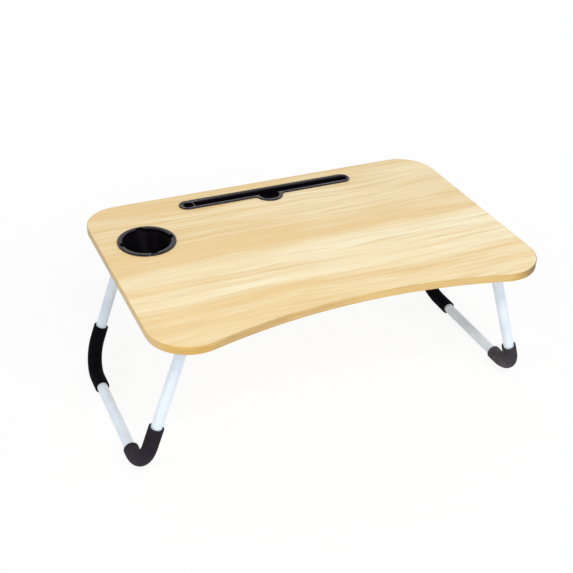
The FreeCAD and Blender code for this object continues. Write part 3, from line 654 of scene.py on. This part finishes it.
def add_bump(material, shader, height, depth):
    """Relief of the given depth in metres, from a height that runs from 0 to 1."""
    made = add_node(material, "Bump", {"Height": height, "Distance": depth, "Strength": 1})
    link(material, made.outputs["Normal"], shader, "Normal")


def ramp(material, source, stops):
    """Grey or coloured stops along a value."""
    made = add_node(material, "ValToRGB", {"Fac": source})
    line = made.color_ramp
    while len(line.elements) < len(stops):
        line.elements.new(1)
    for element, (place, level) in zip(line.elements, stops):
        element.position = place
        element.color = level if isinstance(level, tuple) else (level, level, level, 1)
    return made.outputs["Color"]


def dress(objects, material):
    for piece in objects:
        piece.data.materials.clear()
        piece.data.materials.append(material)


# Materials

CREAM = colour(251, 237, 200)
TAN = colour(236, 204, 144)
STREAK = colour(222, 184, 117)
EDGE_DARK = colour(190, 155, 95)
EDGE_PALE = colour(229, 196, 132)
MAUVE_GLINT = (0.96, 0.91, 1, 1)

# how far the grain wanders to either side
WANDER = 22 * MM
RIPPLE = 5 * MM

# relief
WOOD_PORES = 0.03 * MM
EDGE_PORES = 0.05 * MM
ORANGE_PEEL = 0.05 * MM
FOAM_CELLS = 0.25 * MM
MOULD_TEXTURE = 0.012 * MM
NYLON_GRIT = 0.08 * MM
ZINC_MARKS = 0.02 * MM
BOARD_FIBRES = 0.1 * MM

# The sleeves' dust grows from the first to the second of each pair: heights, and places from back to front.
# Along the places it is partly painted light, paler on the lit front feet than on the shaded back ones.
DUST_HEIGHTS = (50 * MM, 20 * MM)
DUST_AND_LIGHT_PLACES = (20 * MM, -60 * MM)

# The cup's draw marks: the depths below the board's top where they fade in, and where they fade out.
MARKS_BEGIN = (2 * MM, 5 * MM)
MARKS_END = (41 * MM, 44 * MM)

# How pale the print is from the board's front edge to its back edge, as shares of the depth and of the tone.
BAND_SHARES = [
    (0.0, 0.42), (0.10, 0.22), (0.15, 0.48), (0.20, 0.0), (0.26, 0.86), (0.31, 0.80), (0.35, 0.55),
    (0.41, 0.95), (0.45, 0.70), (0.50, 0.06), (0.56, 0.22), (0.60, 0.05), (0.67, 0.42), (0.78, 0.49),
    (0.86, 0.58), (0.96, 0.0),
]

# How much of the tone's change from left to right shows, over the same depth. That change is painted shade:
# the print is darker towards the left and paler towards the right, as the light falls.
LEFT_SHADE_SHARES = [(0.0, 1.0), (0.14, 1.0), (0.21, 0.35), (0.38, 0.3), (0.62, 1.0)]

# How the edge strip's tone changes along it: metres from its start at the back right corner, and a share.
# The tone is partly the print and partly painted shade, deepest at the front right corner, where the strip
# turns away from the light.
EDGE_LENGTH = 1.906
EDGE_TONE_AND_SHADE_SHARES = [
    (0.0, 0.9), (0.30, 0.84), (0.60, 0.80), (0.664, 0.74), (0.74, 0.82), (0.80, 0.90), (0.88, 0.93),
    (0.948, 1.0), (1.0, 0.9), (1.05, 0.84), (1.08, 0.72), (1.12, 0.80), (1.17, 0.86), (1.285, 0.91),
    (1.40, 0.97), (1.50, 0.98), (1.517, 0.94), (1.53, 0.8), (1.542, 0.6), (1.555, 0.36), (1.57, 0.22),
    (1.64, 0.6), (1.80, 0.9),
]

# Where the strip is more orange: metres, and the share of blue that is left. It is partly the print's colour
# and partly painted shade.
EDGE_BLUE_AND_SHADE_SHARES = [
    (0.0, 1.0), (0.975, 1.0), (1.0, 0.64), (1.04, 0.58), (1.06, 0.92), (1.07, 1.05), (1.20, 1.05),
    (1.35, 1.0), (1.50, 1.0), (1.52, 0.84), (1.54, 0.74), (1.60, 0.8), (1.64, 1.0),
]


def wood_top():
    """A pale wood print: wide soft bands, long streaks that wander a little, and fine pores, with painted
    shade towards the left.
    """
    material, shader = new_material("wood_top")
    place = object_place(material)
    split = add_node(material, "SeparateXYZ", {"Vector": place})
    drift = spread(material, noise(material, place, (3.2, 9, 1), detail=1), 0, 1, -WANDER, WANDER)
    ripple = spread(material, noise(material, place, (9, 40, 1), detail=2), 0, 1, -RIPPLE, RIPPLE)
    across = calculate(material, "ADD", split.outputs["Y"], calculate(material, "ADD", drift, ripple))
    grain = add_node(material, "CombineXYZ", {"X": split.outputs["X"], "Y": across}).outputs["Vector"]

    # what the tone is made of
    bands = ramp(material, spread(material, across, -HALF_DEPTH, HALF_DEPTH), BAND_SHARES)
    depth = spread(material, split.outputs["Y"], -HALF_DEPTH, HALF_DEPTH)
    # painted shade: the print is darker towards the left and paler towards the right, as the light falls
    left = spread(material, split.outputs["X"], -HALF_WIDTH, HALF_WIDTH, -0.3, 0.12)
    cloud = noise(material, grain, (5, 14, 1), detail=2)
    wide = noise(material, grain, (2.2, 34, 1))
    narrow = noise(material, grain, (4.5, 120, 1), roughness=0.55)
    fibre = noise(material, grain, (10, 300, 1), roughness=0.65)
    lively = spread(material, noise(material, place, (2.6, 8, 1), detail=1), 0.38, 0.6, 0.55, 1.15)
    tone = calculate(
        material, "ADD",
        calculate(material, "MULTIPLY", bands, 0.85),
        calculate(material, "MULTIPLY", left, ramp(material, depth, LEFT_SHADE_SHARES)),
        spread(material, cloud, 0.35, 0.65, -0.08, 0.12),
        spread(material, wide, 0.32, 0.68, -0.2, 0.26),
        calculate(material, "MULTIPLY", lively, vary(material, narrow, -0.26, 0.3)),
        vary(material, fibre, -0.14, 0.14),
    )

    print_colour = blend(material, tone, TAN, CREAM)
    thin = noise(material, grain, (3.6, 105, 1), detail=2, roughness=0.45)
    thin = calculate(material, "MULTIPLY", lively, spread(material, thin, 0.56, 0.72, 0, 0.55))
    print_colour = blend(material, thin, print_colour, STREAK)
    fine = vary(material, fibre, 0.955, 1.035)
    print_colour = blend(material, 1.0, print_colour, fine, kind="MULTIPLY")
    link(material, print_colour, shader, "Base Color")
    pores = noise(material, grain, (60, 2600, 1), detail=2, roughness=0.7)
    link(material, vary(material, pores, 0.34, 0.46), shader, "Roughness")
    add_bump(material, shader, pores, WOOD_PORES)
    return material


def wood_edge():
    """The same print on the edge strip, with its streaks along the strip and a little more orange. Ramps
    along the strip darken it and make it more orange in places, partly as print and partly as painted shade.
    """
    material, shader = new_material("wood_edge")
    place = add_node(material, "UVMap", uv_map="along_edge").outputs["UV"]
    wide = noise(material, place, (7, 300, 1), roughness=0.6)
    narrow = noise(material, place, (22, 1500, 1), roughness=0.6)
    patches = noise(material, place, (11, 70, 1), detail=2)
    tone = calculate(material, "ADD", vary(material, wide, 0, 0.5), vary(material, narrow, 0, 0.35),
                     vary(material, patches, -0.1, 0.3))
    print_colour = blend(material, tone, EDGE_DARK, EDGE_PALE)
    along = add_node(material, "SeparateXYZ", {"Vector": place}).outputs["X"]
    along = spread(material, along, 0, EDGE_LENGTH)
    # partly print tone and partly painted shade: this ramp darkens the strip where it turns away from the
    # light
    tone_and_painted_shade = ramp(material, along, [(metres / EDGE_LENGTH, (share, share ** 1.15, share ** 1.6, 1))
                                    for metres, share in EDGE_TONE_AND_SHADE_SHARES])
    # partly print colour and partly painted shade: this ramp makes the strip more orange in places
    warmth_and_painted_shade = ramp(material, along, [(metres / EDGE_LENGTH, (1, share ** 0.2, share, 1))
                                    for metres, share in EDGE_BLUE_AND_SHADE_SHARES])
    print_colour = blend(material, 1.0, print_colour, tone_and_painted_shade, kind="MULTIPLY")
    print_colour = blend(material, 1.0, print_colour, warmth_and_painted_shade, kind="MULTIPLY")
    link(material, print_colour, shader, "Base Color")
    shader.inputs["Roughness"].default_value = 0.42
    add_bump(material, shader, narrow, EDGE_PORES)
    return material


def painted_steel():
    """White powder coat: a cool white with a soft orange-peel surface."""
    material, shader = new_material("white_powder_coat")
    place = object_place(material)
    peel = noise(material, place, 900, detail=2)
    cloud = spread(material, noise(material, place, 22), 0.35, 0.65)
    shade = blend(material, cloud, colour(210, 220, 233), colour(222, 231, 242))
    link(material, shade, shader, "Base Color")
    link(material, vary(material, peel, 0.28, 0.38), shader, "Roughness")
    add_bump(material, shader, peel, ORANGE_PEEL)
    return material


def foam():
    """Black foam rubber: open pores, and dust on the front of the feet that is paler on the right. The dust
    is partly painted light: paler on the lit front feet and on the right, where more light falls.
    """
    material, shader = new_material("black_foam")
    place = object_place(material)
    split = add_node(material, "SeparateXYZ", {"Vector": place})
    cells = add_node(material, "TexVoronoi", {"Vector": place, "Scale": 1500.0, "Randomness": 1.0})
    rough = noise(material, place, 650, detail=4, roughness=0.65)
    patchy = noise(material, place, 60, detail=4, roughness=0.6)
    # dust near the floor, partly painted light: it is paler towards the front, where the feet are lit
    dust_and_painted_light = calculate(
        material, "MULTIPLY",
        spread(material, split.outputs["Z"], *DUST_HEIGHTS, 0.55, 0.95),
        spread(material, split.outputs["Y"], *DUST_AND_LIGHT_PLACES),
        spread(material, patchy, 0.35, 0.65, 0.7, 1.0),
    )
    # painted light: the dust is paler on the right, where more light falls
    side = spread(material, split.outputs["X"], -HALF_WIDTH, HALF_WIDTH)
    shade = blend(material, spread(material, rough, 0.35, 0.7), colour(6, 5, 8), colour(19, 17, 22))
    dust_and_right_light = blend(material, side, colour(58, 55, 62), colour(86, 83, 90))
    link(material, blend(material, dust_and_painted_light, shade, dust_and_right_light), shader, "Base Color")
    shader.inputs["Roughness"].default_value = 0.6
    shader.inputs["Specular IOR Level"].default_value = 0.015
    height = calculate(material, "ADD", cells.outputs["Distance"], rough)
    add_bump(material, shader, height, FOAM_CELLS)
    return material


def polystyrene(material, shader, place, dark, pale):
    """Glossy near black with a mauve glint and a hint of mould texture. It gives the gloss's roughness."""
    mist = noise(material, place, 300, detail=4, roughness=0.6)
    swirl = noise(material, place, 25, detail=2)
    link(material, blend(material, swirl, dark, pale), shader, "Base Color")
    shader.inputs["Specular Tint"].default_value = MAUVE_GLINT
    add_bump(material, shader, mist, MOULD_TEXTURE)
    return vary(material, mist, 0.10, 0.2)


def black_moulding():
    """The tablet slot's plastic."""
    material, shader = new_material("black_moulding")
    gloss = polystyrene(material, shader, object_place(material), colour(9, 7, 11), colour(16, 13, 18))
    link(material, gloss, shader, "Roughness")
    shader.inputs["Specular IOR Level"].default_value = 0.42
    return material


def drawn_moulding():
    """The cup's plastic, with upright draw marks down the wall that spread a lamp's glint. Its colours are
    darker than the slot's plastic: painted shade for the deep well.
    """
    material, shader = new_material("drawn_moulding")
    place = object_place(material)
    # painted shade: the same plastic as the slot's, made darker for the shade inside the deep well
    gloss = polystyrene(material, shader, place, colour(5, 4, 7), colour(11, 8, 13))
    height = add_node(material, "SeparateXYZ", {"Vector": place}).outputs["Z"]
    wall = spread(material, height, TOP - MARKS_BEGIN[0], TOP - MARKS_BEGIN[1])
    link(material, spread(material, wall, 0, 1, 0.42, 0.09), shader, "Specular IOR Level")
    marks = vary(material, noise(material, place, (260, 260, 3), detail=2), 0.42, 0.5)
    rise = calculate(material, "MULTIPLY", wall, calculate(material, "SUBTRACT", marks, gloss))
    link(material, calculate(material, "ADD", gloss, rise), shader, "Roughness")
    above_floor = spread(material, height, TOP - MARKS_END[1], TOP - MARKS_END[0])
    link(material, calculate(material, "MULTIPLY", wall, above_floor, 0.92), shader, "Anisotropic")
    shader.inputs["Anisotropic Rotation"].default_value = 0.25
    tangent = add_node(material, "Tangent", direction_type="RADIAL", axis="Z")
    link(material, tangent.outputs["Tangent"], shader, "Tangent")
    return material


def black_nylon():
    """Matte moulded nylon for the brackets and the tube plugs."""
    material, shader = new_material("black_nylon")
    place = object_place(material)
    grit = noise(material, place, 1400, roughness=0.6)
    cloud = noise(material, place, 40, detail=2)
    link(material, blend(material, cloud, colour(30, 30, 31), colour(42, 42, 43)), shader, "Base Color")
    link(material, vary(material, grit, 0.45, 0.6), shader, "Roughness")
    add_bump(material, shader, grit, NYLON_GRIT)
    return material


def white_nylon():
    """Cloudy white nylon for the friction washers."""
    material, shader = new_material("white_nylon")
    cloud = noise(material, object_place(material), 120)
    link(material, blend(material, cloud, colour(222, 221, 212), colour(236, 235, 228)), shader, "Base Color")
    link(material, vary(material, cloud, 0.4, 0.5), shader, "Roughness")
    return material


def zinc_plate():
    """Zinc-plated steel with fine marks and a mottled tone."""
    material, shader = new_material("zinc_plate")
    mottle = noise(material, object_place(material), 500, detail=4, roughness=0.6)
    shade = blend(material, mottle, colour(186, 188, 190), colour(214, 214, 210))
    link(material, shade, shader, "Base Color")
    shader.inputs["Metallic"].default_value = 1.0
    link(material, vary(material, mottle, 0.24, 0.4), shader, "Roughness")
    add_bump(material, shader, mottle, ZINC_MARKS)
    return material


def fibreboard():
    """The board's raw core."""
    material, shader = new_material("fibreboard")
    fibres = noise(material, object_place(material), 1200, detail=4, roughness=0.7)
    link(material, blend(material, fibres, colour(150, 118, 84), colour(186, 154, 116)), shader, "Base Color")
    shader.inputs["Roughness"].default_value = 0.9
    add_bump(material, shader, fibres, BOARD_FIBRES)
    return material


# The stage: floor, lights and camera

FLOOR_HALF = 6
FLOOR_COLOUR = (0.92, 0.92, 0.92, 1)

# Near the desk the camera sees this share of the floor as plain white, and the rest as it is lit. From the
# first distance to the second the share grows to the whole.
WHITE_SHARE = 0.9
SHADOW_REACH = 0.45
SHADOW_END = 1.2

ROOM_TINT = (0.95, 0.975, 1, 1)
WALL_STRENGTH = 0.9
CEILING_STRENGTH = 0.2
WALL_TOP = math.radians(34)
CEILING_EDGE = math.radians(62)

# Each softbox's azimuth and elevation in degrees, distance, width and height in metres, and watts.
SOFTBOXES = {
    "key": (-8, 54, 3.2, 0.5, 0.5, 41),
    "left_strip": (-64, 33, 2.6, 0.18, 1.1, 7),
    "right_strip": (14, 33, 2.6, 0.18, 1.1, 8),
}

CAMERA_AZIMUTH = math.radians(-25.12)
CAMERA_ELEVATION = math.radians(32.51)
CAMERA_ROLL = math.radians(2.06)
CAMERA_DISTANCE = 1412.85 * MM
CAMERA_TARGET = (-86.32 * MM, -110.51 * MM, TOP)
SENSOR_WIDTH_IN_MM = 36
LENS_IN_MM = 63.92


def make_floor():
    """A wide white floor. The camera sees it lighter than it is lit, and the desk's shadow stays on it."""
    half = FLOOR_HALF
    floor = add_piece("floor", [(-half, -half, 0), (half, -half, 0), (half, half, 0), (-half, half, 0)],
                      [(0, 1, 2, 3)], smooth=False)
    material, shader = new_material("white_floor")
    shader.inputs["Base Color"].default_value = FLOOR_COLOUR
    shader.inputs["Roughness"].default_value = 0.9
    away = add_node(material, "VectorMath", {0: object_place(material)}, operation="LENGTH").outputs["Value"]
    rays = add_node(material, "LightPath")
    seen = calculate(material, "ADD", rays.outputs["Is Camera Ray"], rays.outputs["Is Glossy Ray"],
                     rays.outputs["Is Transmission Ray"])
    seen = calculate(material, "MINIMUM", seen, 1)
    white_share = spread(material, away, SHADOW_REACH, SHADOW_END, WHITE_SHARE, 1)
    share = calculate(material, "MULTIPLY", seen, white_share)
    white = add_node(material, "Emission", {"Color": WHITE, "Strength": 1.0}).outputs["Emission"]
    surface = mix_shaders(material, share, shader.outputs["BSDF"], white)
    link(material, surface, material.node_tree.nodes["Material Output"], "Surface")
    floor.data.materials.append(material)


def make_world():
    """A studio with pale walls and a darker ceiling. The camera sees plain white in every direction."""
    world = bpy.data.worlds.new("studio")
    bpy.context.scene.world = world
    world.use_nodes = True
    world.node_tree.nodes.clear()
    rays = add_node(world, "LightPath")
    seen = calculate(world, "MAXIMUM", rays.outputs["Is Camera Ray"], rays.outputs["Is Transmission Ray"])
    place = add_node(world, "TexCoord").outputs["Generated"]
    height = add_node(world, "SeparateXYZ", {"Vector": place}).outputs["Z"]
    low_share = spread(world, height, math.sin(WALL_TOP), math.sin(CEILING_EDGE), 1, 0)
    wall_glint = calculate(world, "MULTIPLY", rays.outputs["Is Glossy Ray"], low_share)
    white_share = calculate(world, "MAXIMUM", seen, wall_glint)

    def background(tint, strength):
        return add_node(world, "Background", {"Color": tint, "Strength": strength}).outputs["Background"]

    room = mix_shaders(world, low_share, background(ROOM_TINT, CEILING_STRENGTH),
                       background(ROOM_TINT, WALL_STRENGTH))
    whole = mix_shaders(world, white_share, room, background(WHITE, 1.0))
    add_node(world, "OutputWorld", {"Surface": whole})


def direction(azimuth, elevation):
    """From the desk outwards. Azimuth 0 is the sitter's side, and it grows towards +X."""
    return Vector((math.sin(azimuth) * math.cos(elevation),
                   -math.cos(azimuth) * math.cos(elevation),
                   math.sin(elevation)))


def add_softbox(name, azimuth, elevation, distance, width, height, power):
    light = bpy.data.lights.new(name, "AREA")
    light.shape = "RECTANGLE"
    light.size = width
    light.size_y = height
    light.energy = power
    lamp = bpy.data.objects.new(name, light)
    bpy.context.scene.collection.objects.link(lamp)
    outward = direction(math.radians(azimuth), math.radians(elevation))
    lamp.location = outward * distance + Vector((0, 0, TOP / 2))
    lamp.rotation_euler = outward.to_track_quat("Z", "Y").to_euler()


def make_camera():
    """A camera at the photo's angle, turned about its own line of sight by the roll."""
    back = direction(CAMERA_AZIMUTH, CAMERA_ELEVATION)
    level = Vector((math.cos(CAMERA_AZIMUTH), math.sin(CAMERA_AZIMUTH), 0))
    raised = back.cross(level)
    across = level * math.cos(CAMERA_ROLL) + raised * math.sin(CAMERA_ROLL)
    up = raised * math.cos(CAMERA_ROLL) - level * math.sin(CAMERA_ROLL)
    data = bpy.data.cameras.new("photo_camera")
    data.sensor_width = SENSOR_WIDTH_IN_MM
    data.lens = LENS_IN_MM
    camera = bpy.data.objects.new("photo_camera", data)
    bpy.context.scene.collection.objects.link(camera)
    place = Vector(CAMERA_TARGET) + back * CAMERA_DISTANCE
    camera.matrix_world = Matrix((
        (across.x, up.x, back.x, place.x),
        (across.y, up.y, back.y, place.y),
        (across.z, up.z, back.z, place.z),
        (0, 0, 0, 1),
    ))
    bpy.context.scene.camera = camera


make_camera()
make_floor()
make_world()
for lamp_name, lamp_values in SOFTBOXES.items():
    add_softbox(lamp_name, *lamp_values)

dress([make_edge_band()], wood_edge())
steel = painted_steel()
sponge = foam()
for side, word in ((-1, "left"), (1, "right")):
    tube, sleeves = make_leg(side, word)
    dress([tube], steel)
    dress(sleeves, sponge)
dress([nodes["top_laminate"], nodes["underside_laminate"]], wood_top())
dress([nodes["board_core"]], fibreboard())
dress([make_cup()], drawn_moulding())
dress([make_tray()], black_moulding())
corners = [end + "_" + word for end in ("front", "back") for word in ("left", "right")]
dress([nodes[corner + part] for corner in corners for part in ("_bracket", "_end_plug")], black_nylon())
plated = zinc_plate()
dress([nodes[corner + "_pin"] for corner in corners], plated)
dress([nodes["bracket_screws"]], plated)
dress([nodes["friction_washers"]], white_nylon())

bpy.context.scene.view_settings.view_transform = "Standard"
